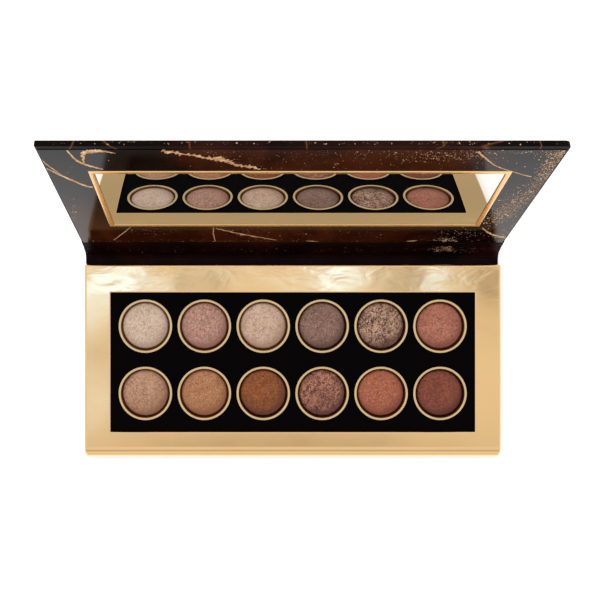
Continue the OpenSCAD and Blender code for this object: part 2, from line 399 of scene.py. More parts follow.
def powder_pattern(g, tones, pattern, seed):
    """A powder's tone before its grain: soft clouds, fine veins or bold swirls."""
    low, mid, high = tones
    if pattern == "swirl":
        swirl = g.noise(250, 4.0, 0.6, 2.6, vector=g.stretched(1, 0.7, 1), offset=seed)
        tone = g.ramp(swirl, (0.40, low), (0.47, mid), (0.53, high), (0.60, mid), (0.68, low))
        patches = g.ramp(g.noise(120, 2.0, offset=seed + 9), (0.46, 0.0), (0.6, 0.5))
        return g.mix(patches, tone, low)
    if pattern == "veined":
        veins = g.noise(420, 3.0, 0.55, 2.4, vector=g.stretched(0.8, 1, 1), offset=seed)
        return g.mix(0.45, mid, g.ramp(veins, (0.38, low), (0.5, mid), (0.6, high)))
    clouds = g.noise(150, 4.0, 0.65, 0.8, offset=seed)
    return g.mix(0.42, mid, g.ramp(clouds, (0.34, low), (0.66, high)))


def baked_powder(name, tones, pattern, seed, centre):
    """Baked powder: fine grain, pores and shimmer in its own tones; painted shade away from its lit spot
    and at its edge.
    """
    g = Graph("powder_" + name)
    low, _, high = tones
    tone = powder_pattern(g, tones, pattern, seed)
    grain = g.noise(820, 6.0, 0.8, offset=seed)
    tone = g.mix(g.ramp(grain, (0.38, 1.0), (0.52, 0.0)), tone, low)
    shimmer = g.ramp(g.noise(1250, 3.0, 0.7, offset=seed + 50), (0.52, 0.0), (0.64, 0.9))
    tone = g.mix(shimmer, tone, high)
    # Painted light and shade: darker with distance from a spot left of and behind the middle, as if lit
    # from there
    away = g.distance(centre.x - PAINTED_LIGHT_SPOT[0], centre.y + PAINTED_LIGHT_SPOT[1], EDGE_UNIT)
    tone = g.mix(g.ramp(away, (0.45, 0.0), (0.8, 0.28), (1.0, 0.8)), tone, low)
    # Painted shade: darker at the edge, where the cake drops into the shadow of the pan's wall
    out = g.distance(centre.x, centre.y, EDGE_UNIT)
    tone = g.mix(g.ramp(out, (0.80, 0.0), (0.90, 0.2), (0.94, 0.7)), tone, darker(low, 0.45))
    skin = g.bump(grain, 0.00006)
    dents = g.bump(g.noise(520, 4.0, 0.6, 0.6, offset=seed), 0.00022, skin)
    g.set(Base_Color=tone, Normal=dents, Metallic=0.25)
    g.set(Roughness=g.ramp(grain, (0.3, 0.42), (0.7, 0.6)))
    return g.material


# ---------- mesh making ----------

def add_piece(name, points, faces, material, body, into=None, smooth=True):
    """A mesh from points in millimetres, placed by a local frame, riding on a body."""
    into = into or Matrix.Identity(4)
    mesh = bpy.data.meshes.new(name)
    mesh.from_pydata([(into @ Vector(p)) * MM for p in points], [], faces)
    mesh.validate()
    mesh.update()
    mesh.materials.append(material)
    if smooth:
        mesh.shade_smooth()
    else:
        mesh.shade_flat()
    obj = bpy.data.objects.new(name, mesh)
    bpy.context.scene.collection.objects.link(obj)
    if body:
        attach(obj, body)
    return obj


def round_loop(x0, x1, y0, y1, radii, steps=8):
    """Points round a rectangle, anticlockwise from its lower right corner, with four corner radii."""
    corners = [(x1, y0, -90), (x1, y1, 0), (x0, y1, 90), (x0, y0, 180)]
    loop = []
    for (x, y, start), r in zip(corners, radii):
        cx = x - r if x == x1 else x + r
        cy = y - r if y == y1 else y + r
        for i in range(steps + 1):
            a = math.radians(start + 90 * i / steps)
            loop.append((cx + r * math.cos(a), cy + r * math.sin(a)))
    return loop


def loft(loops, cap_first=False, cap_last=False):
    """Points and faces of a skin through loops that have the same number of points."""
    count = len(loops[0])
    points = [p for loop in loops for p in loop]
    faces = []
    for k in range(len(loops) - 1):
        for i in range(count):
            j = (i + 1) % count
            faces.append((k * count + i, k * count + j, (k + 1) * count + j, (k + 1) * count + i))
    if cap_first:
        faces.append(tuple(reversed(range(count))))
    if cap_last:
        last = (len(loops) - 1) * count
        faces.append(tuple(range(last, last + count)))
    return points, faces


def quarter_turn(steps):
    """Angles from 0 to 90 degrees, in radians."""
    return [math.radians(90 * i / steps) for i in range(steps + 1)]


def edge_profile(t0, t1, r):
    """(inset, height) pairs over a slab's rim from its lower face to its upper face, with round edges."""
    lower = [(r * (1 - math.sin(a)), t0 + r * (1 - math.cos(a))) for a in quarter_turn(5)]
    upper = [(r * (1 - math.cos(a)), t1 - r * (1 - math.sin(a))) for a in quarter_turn(5)]
    return [(r + 0.4, t0), (r + 0.1, t0)] + lower + upper + [(r + 0.1, t1), (r + 0.4, t1)]


def slab_loops(x0, x1, y0, y1, radii, pairs, lift):
    """Loops for a slab: each (inset, height) pair makes one, and lift places its points."""
    loops = []
    for inset, height in pairs:
        shrunk = [max(r - inset, 0.05) for r in radii]
        flat = round_loop(x0 + inset, x1 - inset, y0 + inset, y1 - inset, shrunk)
        loops.append([lift(a, b, height) for a, b in flat])
    return loops


def upright(a, b, height):
    """Slab points in a cover's local frame: X along the hinge, Z up the board, Y through its thickness."""
    return (a, height, b)


def level(a, b, height):
    """Slab points for a board that lies flat."""
    return (a, b, height)


def revolve(profile, centre, segments):
    """Points and faces of a profile of (radius, height) turned about an upright line, open at both ends."""
    loops = []
    for r, z in profile:
        ring = [2 * math.pi * i / segments for i in range(segments)]
        loops.append([(centre[0] + r * math.cos(a), centre[1] + r * math.sin(a), z) for a in ring])
    return loft(loops)


# ---------- tray ----------

def tray_section(inset):
    """The tray's outline from its side, shrunk by inset: up the front, over the deck, down the back."""
    y0, y1, z1 = TRAY_LO.y + inset, TRAY_HI.y - inset, TRAY_HI.z - inset
    front_r, back_r = FRONT_R - inset, max(EDGE_R - inset, 0.05)
    front = [(y0 + front_r * (1 - math.cos(a)), z1 - front_r * (1 - math.sin(a))) for a in quarter_turn(16)]
    back = [(y1 - back_r * (1 - math.sin(a)), z1 - back_r * (1 - math.cos(a))) for a in quarter_turn(6)]
    window = WINDOW_D / 2 + WINDOW_R
    deck = [(y, z1) for y in (y0 + FRONT_R + SUPPORT, -window, window, y1 - EDGE_R - SUPPORT)]
    front_foot = [(y0, TRAY_LO.z), (y0, z1 - front_r - SUPPORT)]
    back_foot = [(y1, z1 - back_r - SUPPORT), (y1, TRAY_LO.z)]
    return front_foot + front + deck + back + back_foot


def tray_rows():
    """Copies of the tray's side outline along the hinge, drawn in where its ends are round."""
    half_w = (TRAY_HI.x - TRAY_LO.x) / 2
    stations = [(WINDOW_W / 2 + WINDOW_R, 0.0), (half_w - EDGE_R - SUPPORT, 0.0)]
    for a in quarter_turn(6):
        stations.append((half_w - EDGE_R * (1 - math.sin(a)), EDGE_R * (1 - math.cos(a))))
    stations = [(-x, inset) for x, inset in reversed(stations)] + stations
    return [[(x, y, z) for y, z in tray_section(inset)] for x, inset in stations]


def window_lips():
    """The window's four sides, each a strip that rolls over from the deck and runs down through it."""
    rolled = [(WINDOW_R * (1 - math.sin(a)), WINDOW_R * (1 - math.cos(a))) for a in quarter_turn(6)]
    loops = []
    for out, down in rolled + [(0.0, DECK_T)]:
        x, y, z = WINDOW_W / 2 + out, WINDOW_D / 2 + out, TRAY_HI.z - down
        loops.append([(x, -y, z), (x, y, z), (-x, y, z), (-x, -y, z)])
    faces = [(2 * i, 2 * i + 1, 2 * i + 3, 2 * i + 2) for i in range(len(loops) - 1)]
    for side in range(4):
        yield [loop[(side + turn) % 4] for loop in loops for turn in (0, 1)], faces


def over_window(corners):
    """Whether a face of the tray's skin would cover the window."""
    x, y, z = sum((Vector(corner) for corner in corners), Vector()) / len(corners)
    inside = abs(x) < WINDOW_W / 2 + WINDOW_R and abs(y) < WINDOW_D / 2 + WINDOW_R
    return inside and z > TRAY_HI.z - SUPPORT


def build_tray(material):
    """The foil-wrapped shell: its side outline swept along the hinge, with a window in the deck."""
    rows = tray_rows()
    count = len(rows[0])
    points = [p for row in rows for p in row]
    faces = []
    for k in range(len(rows) - 1):
        for i in range(count - 1):
            at = k * count + i
            face = (at, at + count, at + count + 1, at + 1)
            if not over_window([points[corner] for corner in face]):
                faces.append(face)
    ends = [(rows[0], [tuple(range(count))]), (rows[-1], [tuple(reversed(range(count)))])]
    for more_points, more_faces in ends + list(window_lips()):
        first = len(points)
        points.extend(more_points)
        faces.extend(tuple(first + i for i in face) for face in more_faces)
    tray = add_piece("tray_foil", points, faces, material, "base")
    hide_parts("tray_shell")


# ---------- pans and powders ----------

def build_pan(node, centre, material):
    """A shallow metal cup with a rolled rim."""
    lo, hi = (mm(corner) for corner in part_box(node))
    inner = BORE_R + RIM_WALL
    middle = (RIM_R + inner) / 2
    half = (RIM_R - inner) / 2
    rim_z = hi.z
    flange_z = rim_z - 0.75
    profile = [(BORE_R - 0.02, lo.z + 0.6), (BORE_R, rim_z - 1.3), (BORE_R + 0.15, rim_z - 0.8)]
    for i in range(11):
        a = math.radians(180 - 18 * i)
        flatten = abs(math.sin(a)) ** 0.6
        profile.append((middle + half * math.cos(a), rim_z - ROLL_H + ROLL_H * flatten))
    profile += [(RIM_R, flange_z), (RIM_R - 0.9, flange_z), (RIM_R - 1.0, lo.z), (0.01, lo.z)]
    points, faces = revolve(list(reversed(profile)), centre, 96)
    pan = add_piece("cup_" + node[-2:], points, faces, material, "base")
    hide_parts(node)


def build_powder(node, centre, material, rough, seed):
    """A domed baked cake: crowned, soft at its shoulder, and uneven as a hand-finished one is."""
    hi = mm(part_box(node)[1])
    rings, segments = 34, 84
    top = hi.z - 0.06
    points = []
    for k in range(rings + 1):
        share = (k / rings) ** 0.8
        r = POWDER_R * share
        crown = POWDER_CROWN * 0.86 * share ** 2.2
        shoulder = 0.9 * max(0.0, (share - 0.93) / 0.07) ** 2.2
        for i in range(segments):
            a = 2 * math.pi * i / segments
            x, y = centre[0] + r * math.cos(a), centre[1] + r * math.sin(a)
            spot = Vector((x, y, seed * 7.0))
            uneven = 0.10 * noise.noise(spot * 0.16) + rough * noise.fractal(spot * 0.9, 0.8, 2.0, 4)
            points.append((x, y, min(top - crown - shoulder + uneven * (1 - share ** 6), hi.z)))
    faces = []
    for k in range(rings):
        for i in range(segments):
            j = (i + 1) % segments
            near, far = k * segments, (k + 1) * segments
            faces.append((near + i, far + i, far + j, near + j))
    cake = add_piece("cake_" + node[-2:], points, faces, material, "base")
    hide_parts(node)


# Each shade: its slot, its darkest, middle and lightest tone, how it is patterned, and how rough its top is
SHADES = [
    ("ivory", (161, 133, 112), (206, 177, 154), (232, 208, 186), "clouds", 0.03),
    ("dusty_rose", (131, 84, 71), (176, 130, 111), (210, 170, 149), "veined", 0.035),
    ("pale_peach", (153, 116, 93), (199, 163, 139), (227, 197, 171), "clouds", 0.03),
    ("taupe", (81, 52, 41), (137, 99, 83), (173, 136, 119), "clouds", 0.04),
    ("champagne_swirl", (70, 35, 23), (148, 100, 79), (222, 181, 152), "swirl", 0.08),
    ("copper_rose", (115, 59, 43), (169, 99, 77), (203, 134, 107), "clouds", 0.04),
    ("rosy_tan", (127, 81, 56), (176, 129, 99), (205, 163, 132), "clouds", 0.04),
    ("golden_tan", (126, 74, 42), (170, 113, 73), (201, 147, 102), "clouds", 0.04),
    ("bronze", (81, 33, 7), (133, 67, 23), (171, 100, 42), "clouds", 0.04),
    ("mauve_swirl", (75, 30, 24), (130, 73, 61), (196, 134, 105), "swirl", 0.07),
    ("terracotta", (113, 50, 31), (164, 87, 59), (198, 123, 87), "clouds", 0.04),
    ("chestnut", (74, 26, 13), (122, 55, 35), (158, 83, 56), "clouds", 0.045),
]


def build_pans():
    """The twelve pans and the powders in them, shade by shade."""
    metal = pan_metal(mm(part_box("pan_01")[1]).z)
    for i, (name, low, mid, high, pattern, rough) in enumerate(SHADES):
        number = "%02d" % (i + 1)
        lo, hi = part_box("pan_" + number)
        centre = mm((lo + hi) / 2)
        build_pan("pan_" + number, centre, metal)
        tones = [srgb(*c) for c in (low, mid, high)]
        powder = baked_powder(name, tones, pattern, i * 3.7, centre)
        build_powder("powder_" + number, centre, powder, rough, i)


# ---------- cover ----------

def build_bottom(material):
    """The bottom cover's wrapped board."""
    pairs = edge_profile(0, COVER_T, 0.45)
    radii = (1.2, 0.3, 0.3, 1.2)
    loops = slab_loops(COVER_LO.x, COVER_HI.x, COVER_LO.y, COVER_HI.y, radii, pairs, level)
    points, faces = loft(loops, cap_first=True, cap_last=True)
    piece = add_piece("bottom_print", points, faces, material, "base")
    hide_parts("bottom_cover_wrap", "bottom_cover_liner")


def build_spine(material, lining):
    """The spine's wrapped board and the lining on its inner face."""
    half_w = COVER_W / 2
    ends = (HINGE_GAP, SPINE_LEN - HINGE_GAP)
    pairs = edge_profile(-HALF_T + LINING_T, HALF_T - SKIN, 0.35)
    loops = slab_loops(-half_w, half_w, *ends, (0.4,) * 4, pairs, upright)
    points, faces = loft(loops, True, True)
    wrap = add_piece("spine_print", points, faces, material, "spine", SPINE_FRAME)
    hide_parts("spine_wrap")
    pairs = edge_profile(-HALF_T, -HALF_T + LINING_T, 0.1)
    loops = slab_loops(-half_w + 0.3, half_w - 0.3, *ends, (0.4,) * 4, pairs, upright)
    points, faces = loft(loops, True, True)
    sheet = add_piece("spine_lining_sheet", points, faces, lining, "spine", SPINE_FRAME)
    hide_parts("spine_lining")


def build_lid(material):
    """The lid's wrap, turned in over its edges."""
    half_w = COVER_W / 2
    radii = (0.3, LID_CORNER_R, 0.5, 0.3)
    turned_in = (10.5, -HALF_T + LINING_T)
    pairs = [turned_in] + edge_profile(-HALF_T + LINING_T, HALF_T - SKIN, 0.5)
    loops = slab_loops(-half_w, half_w, HINGE_GAP, LID_LEN - SKIN, radii, pairs, upright)
    points, faces = loft(loops, cap_last=True)
    wrap = add_piece("lid_print", points, faces, material, "lid", LID_FRAME)
    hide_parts("lid_wrap")


def build_lining(lining):
    """The sheet inside the lid, with its opening for the mirror."""
    edge_x, edge_top = COVER_W / 2 - LINING_INSET, LID_LEN - LINING_TOP_INSET
    gap, roll = 0.2, 0.1
    hole_x, hole_y0 = MIRROR_W / 2 + gap, MIRROR_FROM_HINGE - gap
    hole = round_loop(-hole_x, hole_x, hole_y0, hole_y0 + MIRROR_H + 2 * gap, (0.1,) * 4)
    outer = round_loop(-edge_x, edge_x, HINGE_GAP, edge_top, (0.3,) * 4)
    rolled = round_loop(-edge_x + roll, edge_x - roll, HINGE_GAP + roll, edge_top - roll, (0.2,) * 4)
    back, front = -HALF_T + LINING_T, -HALF_T
    loops = [
        [(a, back, b) for a, b in outer],
        [(a, front + roll, b) for a, b in outer],
        [(a, front, b) for a, b in rolled],
        [(a, front, b) for a, b in hole],
        [(a, back + 1.0, b) for a, b in hole],
    ]
    points, faces = loft(loops)
    sheet = add_piece("lid_lining_sheet", points, faces, lining, "lid", LID_FRAME, smooth=False)
    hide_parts("lid_lining", "lid_filler_card")


def build_mirror(glass):
    """The glass, let into the lid."""
    half_w = MIRROR_W / 2
    face = -HALF_T + 0.15
    pairs = edge_profile(face, face + 1.2, 0.2)
    top = MIRROR_FROM_HINGE + MIRROR_H
    loops = slab_loops(-half_w, half_w, MIRROR_FROM_HINGE, top, (0.4,) * 4, pairs, upright)
    points, faces = loft(loops, True, True)
    pane = add_piece("mirror_pane", points, faces, glass, "lid", LID_FRAME)
    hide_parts("mirror_glass")


def build_strip(foil):
    """The gold strip that frames the mirror, with mitred corners."""
    half_w = MIRROR_W / 2
    z0, z1 = MIRROR_FROM_HINGE, MIRROR_FROM_HINGE + MIRROR_H
    outside = [(STRIP_W, 0.0), (STRIP_W - 0.05, -0.13), (STRIP_W - 0.25, -0.19), (0.8, -0.2)]
    inside = [(-STRIP_OVERLAP + 0.2, -0.19), (-STRIP_OVERLAP, -0.12), (-STRIP_OVERLAP, 0.13)]
    section = outside + inside
    points, faces = [], []
    for side in range(4):
        first = side * 2 * len(section)
        for k, (offset, height) in enumerate(section):
            corners = [(half_w + offset, z0 - offset), (half_w + offset, z1 + offset)]
            corners += [(-half_w - offset, z1 + offset), (-half_w - offset, z0 - offset)]
            for a, b in (corners[side], corners[(side + 1) % 4]):
                points.append((a, -HALF_T + height, b))
            if k:
                at = first + 2 * k - 2
                faces.append((at, at + 1, at + 3, at + 2))
    strip = add_piece("mirror_strip", points, faces, foil, "lid", LID_FRAME)
    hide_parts("mirror_gold_strip")


def along(frame_matrix, distance, depth):
    """A point in the hinge's cross-section: distance from the axis along the board, depth through it."""
    return frame_matrix @ Vector((0, depth, distance))


def crease_face(start, end, middle, groove):
    """A smooth run from start to end that passes near middle, pressed in by a narrow groove."""
    steps = 12
    run = []
    for i in range(steps + 1):
        t = i / steps
        p = start * (1 - t) ** 2 + middle * 2 * t * (1 - t) + end * t ** 2
        run.append(p + groove * math.exp(-((t - 0.5) / 0.16) ** 2))
    return run


def build_crease(name, node, bodies, below, above, material):
    """Paper that crosses a fold: a closed sleeve whose inner and outer faces run from board to board.
    below and above give the section's end points on each board: (inner, outer) in millimetres."""
    inner_mid = (below[0] + above[0]) / 2
    outer_mid = (below[1] + above[1]) / 2
    inward = (outer_mid - inner_mid).normalized()
    inner = crease_face(below[0], above[0], inner_mid, inward * GROOVE_INSIDE)
    outer = crease_face(above[1], below[1], outer_mid, -inward * GROOVE_OUTSIDE)
    half_w = COVER_W / 2 - 0.05
    columns = 60
    loops = []
    for k in range(columns + 1):
        x = -half_w + 2 * half_w * k / columns
        loops.append([(x, p.y, p.z) for p in inner + outer])
    points, faces = loft(loops, True, True)
    piece = add_piece(name, points, faces, material, None)
    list(bodies)
    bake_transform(piece)
    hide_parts(node)


def build_creases(material):
    """The two folds, each from one board's end to the next one's."""
    reach = HINGE_GAP + 0.3
    inside, outside = -HALF_T + 0.02, HALF_T - SKIN - 0.01
    base_y = LOWER_AXIS.y - reach
    base_ends = [Vector((0, base_y, LOWER_AXIS.z + HALF_T - 0.02)), Vector((0, base_y, 0.03))]
    spine_low = [along(SPINE_FRAME, reach, d) for d in (inside, outside)]
    spine_high = [along(SPINE_FRAME, SPINE_LEN - reach, d) for d in (inside, outside)]
    lid_low = [along(LID_FRAME, reach, d) for d in (inside, outside)]
    lower, upper = ("base", "spine"), ("spine", "lid")
    build_crease("lower_fold", "lower_hinge_crease", lower, base_ends, spine_low, material)
    build_crease("upper_fold", "upper_hinge_crease", upper, spine_high, lid_low, material)


# ---------- foil stamping ----------

VEIN_WIDTH = 1.15
FLECK_SIZE = 0.75


def smooth_path(stations, per_span=10):
    """Points on a Catmull-Rom curve through stations of (x, y, width)."""
    run = [stations[0]] + list(stations) + [stations[-1]]
    path = []
    for a, b, c, d in zip(run, run[1:], run[2:], run[3:]):
        for i in range(per_span):
            path.append(tuple(catmull_rom(*values, i / per_span) for values in zip(a, b, c, d)))
    return path + [tuple(stations[-1])]


def catmull_rom(p, q, r, s, t):
    """The value a share t of the way from q to r, with p before and s after."""
    square = (2 * p - 5 * q + 4 * r - s) * t * t
    cube = (3 * q - p - 3 * r + s) * t ** 3
    return 0.5 * (2 * q + (r - p) * t + square + cube)


def vein(stations, rng, ragged):
    """A foil vein as a ribbon of uneven width: its points in the plane, and its faces."""
    path = smooth_path(stations)
    points, faces = [], []
    for i, (x, y, width) in enumerate(path):
        ahead = path[min(i + 1, len(path) - 1)]
        behind = path[max(i - 1, 0)]
        run = Vector((ahead[0] - behind[0], ahead[1] - behind[1]))
        side = Vector((-run.y, run.x)).normalized() if run.length else Vector((0, 1))
        half = max(VEIN_WIDTH * width, 0.08) / 2
        left, right = (half * (1 + ragged * rng.uniform(-1, 1)) for _ in range(2))
        shift = ragged * half * rng.uniform(-0.6, 0.6)
        points.append((x + side.x * (left + shift), y + side.y * (left + shift)))
        points.append((x - side.x * (right - shift), y - side.y * (right - shift)))
        if i:
            faces.append((2 * i - 2, 2 * i - 1, 2 * i + 1, 2 * i))
    return points, faces


def fleck(x, y, size, rng):
    """One irregular flake of foil."""
    sides = rng.randint(4, 6)
    turn = rng.uniform(0, math.pi)
    long_way = rng.uniform(0, math.pi)
    points = []
    for i in range(sides):
        a = turn + 2 * math.pi * i / sides
        r = size * rng.uniform(0.55, 1.1)
        px, py = r * math.cos(a), 0.6 * r * math.sin(a)
        points.append((x + px * math.cos(long_way) - py * math.sin(long_way),
                       y + px * math.sin(long_way) + py * math.cos(long_way)))
    return points, [tuple(range(sides))]


def stamp(name, material, body, into, place, veins, clouds, allowed, seed):
    """Foil on one face: veins and clouds of flecks, as one mesh a hair above the print.
    place turns a spot on the face into a point of the local frame."""
    rng = random.Random(seed)
    points, faces = [], []

    def add(part):
        first = len(points)
        points.extend(part[0])
        faces.extend(tuple(first + i for i in face) for face in part[1])

    for ragged, stations in veins:
        add(vein(stations, rng, ragged))
    for x, y, spread_x, spread_y, turn, count, size in clouds:
        c, s = math.cos(math.radians(turn)), math.sin(math.radians(turn))
        for _ in range(count):
            along_x, along_y = rng.gauss(0, spread_x), rng.gauss(0, spread_y)
            px, py = x + along_x * c - along_y * s, y + along_x * s + along_y * c
            grain = FLECK_SIZE * size * rng.lognormvariate(-0.2, 0.55)
            if allowed(px, py):
                add(fleck(px, py, grain, rng))
    edge = COVER_W / 2 - LINING_INSET - 0.05
    placed = [place(max(-edge, min(edge, px)), py) for px, py in points]
    return add_piece(name, placed, faces, material, body, into, smooth=False)


def in_lining(x, y):
    """Whether a fleck fits on the lid's lining, clear of the mirror's strip."""
    edge = COVER_W / 2 - LINING_INSET - 0.4
    beside = abs(x) > MIRROR_W / 2 + STRIP_W + 0.2
    over = y > MIRROR_FROM_HINGE + MIRROR_H + STRIP_W + 0.2
    under = y < MIRROR_FROM_HINGE - STRIP_W - 0.2
    on_sheet = abs(x) < edge and HINGE_GAP + 0.6 < y < LID_LEN - LINING_TOP_INSET - 0.3
    return on_sheet and (beside or over or under)


def in_lid_back(x, y):
    """Whether a fleck fits on the lid's outer face."""
    return abs(x) < COVER_W / 2 - 0.8 and HINGE_GAP + 0.8 < y < LID_LEN - 0.8


def in_spine(x, y):
    """Whether a fleck fits inside the spine."""
    return abs(x) < COVER_W / 2 - 0.8 and HINGE_GAP + 0.5 < y < SPINE_LEN - HINGE_GAP - 0.5


def on_inside(x, y):
    """A spot on a cover's inner face."""
    return (x, -HALF_T - FOIL_LIFT, y)


def on_outside(x, y):
    """A spot on a cover's outer face."""
    return (x, HALF_T - SKIN + FOIL_LIFT, y)


def on_free_edge(x, y):
    """A spot on the lid's free edge."""
    return (x, y, LID_LEN - SKIN + FOIL_LIFT)


# Veins as (raggedness, [(across, up, width), ...]) and clouds of flecks as
# (across, up, spread across, spread up, turn, count, size), all in millimetres on the face
LINING_VEINS = [
    (0.35, [(-89, 96.4, 0.5), (-86.5, 87.5, 0.9), (-82, 83, 1.1), (-78, 80.2, 0.7)]),
    (0.6, [(-84.5, 86, 0.4), (-83.4, 93.5, 1.3), (-80, 95.6, 2.2), (-75, 95.5, 1.0), (-71, 94, 0.3)]),
    (0.3, [(-101, 82.5, 0.5), (-95.3, 74.5, 0.9), (-88.5, 66, 1.0), (-86, 64, 1.0), (-84.6, 63.8, 0.6)]),
    (0.3, [(-101, 95, 0.3), (-99.6, 86, 0.5), (-95, 74.5, 0.4)]),
    (0.25, [(-75, 20.5, 0.3), (-79, 14, 0.45), (-85, 4.5, 0.3)]),
    (0.9, [(-53, 96.5, 1.2), (-49, 94.5, 2.0), (-42, 92.5, 1.3), (-36, 90, 2.1), (-29, 88.2, 2.4),
           (-26, 84.5, 1.2), (-20, 82.5, 1.6), (-16, 80.4, 0.8)]),
    (0.4, [(66.5, 95.4, 0.9), (73.3, 86.5, 0.5), (78, 82, 0.4), (88, 76, 0.45), (93, 73.5, 0.6)]),
    (0.5, [(-37, 20, 0.3), (-37.5, 12, 0.5), (-37, 3, 0.4)]),
    (0.7, [(-36, 19, 0.5), (-24, 12, 0.9), (-8, 4.5, 0.5)]),
    (0.5, [(86, 20, 0.4), (92, 12, 1.2), (100, 8, 1.6)]),
    (0.4, [(6, 3.6, 0.3), (9, 3.1, 0.8), (12, 2.7, 0.3)]),
    (0.4, [(54, 3.0, 0.4), (57, 3.5, 0.9), (59, 4.1, 0.3)]),
]
LINING_CLOUDS = [
    (98, 88, 2.8, 8, 0, 900, 0.32), (99, 70, 2.2, 8, 0, 480, 0.3), (94, 46, 3.6, 11, -14, 1100, 0.32),
    (90, 30, 3.0, 5, 0, 220, 0.32), (88, 95, 8, 1.2, 0, 120, 0.25), (62, 93, 7, 3, 0, 150, 0.32),
    (30, 94, 26, 2.0, 0, 150, 0.26), (20, 88, 34, 5, 0, 170, 0.26), (46, 91, 6, 3, 0, 110, 0.3),
    (-27, 88, 12, 3, -35, 130, 0.24), (-68, 16, 6, 3, 0, 150, 0.16), (-97.5, 36, 1.6, 8, -10, 55, 0.26),
    (-50, 3.1, 26, 0.3, 0, 70, 0.28), (0, 4, 42, 1.4, 0, 170, 0.22), (20, 12, 34, 5, 0, 200, 0.18),
    (-20, 12, 9, 4, -30, 110, 0.26),
    (73, 4.5, 2.6, 1.8, 0, 150, 0.45), (80, 12, 8, 5, 0, 160, 0.28), (97, 12, 3, 6, 0, 120, 0.3),
    (75, 84, 14, 8, 0, 130, 0.24), (-88, 76, 4, 7, 0, 40, 0.2),
]
SPINE_CLOUDS = [
    (20, 5.5, 44, 2.0, 0, 170, 0.2), (73, 7, 2.6, 1.6, 0, 120, 0.45), (82, 6, 6, 1.8, 0, 90, 0.3),
    (-60, 5.5, 20, 1.6, 0, 30, 0.2),
]
LID_BACK_VEINS = [
    (0.35, [(-100, 30, 0.8), (-70, 38, 1.3), (-48, 60, 1.1), (-30, 66, 1.6), (-8, 90, 0.8), (-2, 99, 0.6)]),
    (0.3, [(-48, 60, 0.9), (-62, 78, 0.7), (-66, 99, 0.6)]),
    (0.8, [(-30, 66, 1.0), (-4, 52, 2.2), (22, 48, 2.6), (48, 30, 1.9), (66, 6, 1.2)]),
    (0.35, [(22, 48, 0.8), (40, 66, 1.2), (72, 74, 1.0), (100, 92, 0.9)]),
    (0.3, [(72, 74, 0.7), (84, 50, 0.9), (100, 40, 0.6)]),
]
LID_BACK_CLOUDS = [
    (20, 46, 22, 4, -20, 500, 0.35), (80, 78, 12, 9, 30, 520, 0.32), (-52, 60, 10, 6, 40, 260, 0.28),
    (0, 60, 60, 30, 0, 500, 0.26), (60, 16, 8, 10, 40, 260, 0.3),
]
EDGE_CLOUDS = [
    (-60, 0, 26, 0.7, 0, 30, 0.3), (0, 0, 40, 0.7, 0, 70, 0.25), (60, 0, 22, 0.7, 0, 60, 0.28),
]


def in_free_edge(x, y):
    """Whether a fleck fits on the lid's free edge."""
    return abs(x) < COVER_W / 2 - 3.5 and abs(y) < HALF_T - 0.65


def stamp_foil():
    """All the foil stamping: on both faces of the lid, on its free edge and inside the spine."""
    foil = stamped_foil()
    lid, spine = ("lid", LID_FRAME), ("spine", SPINE_FRAME)
    stamp("lining_foil", foil, *lid, on_inside, LINING_VEINS, LINING_CLOUDS, in_lining, 5)
    stamp("spine_foil", foil, *spine, on_inside, [], SPINE_CLOUDS, in_spine, 6)
    stamp("lid_back_foil", foil, *lid, on_outside, LID_BACK_VEINS, LID_BACK_CLOUDS, in_lid_back, 7)
    stamp("lid_edge_foil", foil, *lid, on_free_edge, [], EDGE_CLOUDS, in_free_edge, 8)


# ---------- the scene ----------

def dress_hidden_parts():
    """Materials for the CAD nodes that stay."""
    grey = card("greyboard", srgb(150, 146, 138))
    black = card("black_card", srgb(5, 3, 4), 0.6, specular=0.02)
    steel = plain_metal("nickel_plate", srgb(190, 190, 194), 0.3)
    glue = card("adhesive", srgb(228, 226, 218), 0.5)
    wanted = {
        "bottom_cover_board": grey, "tray_floor": grey, "spine_board": grey, "lid_board": grey,
        "pan_bed": black, "pan_platform": black, "tray_magnets": steel, "lid_magnets": steel,
        "mirror_adhesive": glue,
    }
    for node, material in wanted.items():
        for slot in frame["nodes"][node].material_slots:
            slot.material = material


def build_floor():
    """A wide sheet of pale paper, glowing a little so that it stays white under the palette."""
    mesh = bpy.data.meshes.new("floor")
    size = 4.0
    corners = [(-size, -size, 0), (size, -size, 0), (size, size, 0), (-size, size, 0)]
    mesh.from_pydata(corners, [], [(0, 1, 2, 3)])
    g = Graph("floor_paper")
    tone = g.mix(g.noise(3, 2.0), (0.9, 0.9, 0.9, 1), (0.93, 0.93, 0.93, 1))
    g.set(Base_Color=tone, Roughness=0.9, Specular_IOR_Level=0.1)
    g.set(Emission_Color=(1, 1, 1, 1), Emission_Strength=0.33)
    mesh.materials.append(g.material)
    floor = bpy.data.objects.new("floor", mesh)
    bpy.context.scene.collection.objects.link(floor)
    floor.location.z = -0.0002


def softbox(name, place, aim, width, depth, radiance):
    """A rectangular lamp with an even face of the given brightness."""
    lamp = bpy.data.lights.new(name, "AREA")
    lamp.shape = "RECTANGLE"
    lamp.size, lamp.size_y = width, depth
    lamp.energy = radiance * math.pi * width * depth
    obj = bpy.data.objects.new(name, lamp)
    bpy.context.scene.collection.objects.link(obj)
    obj.location = place
    obj.rotation_euler = (Vector(aim) - Vector(place)).to_track_quat("-Z", "Y").to_euler()
    return obj


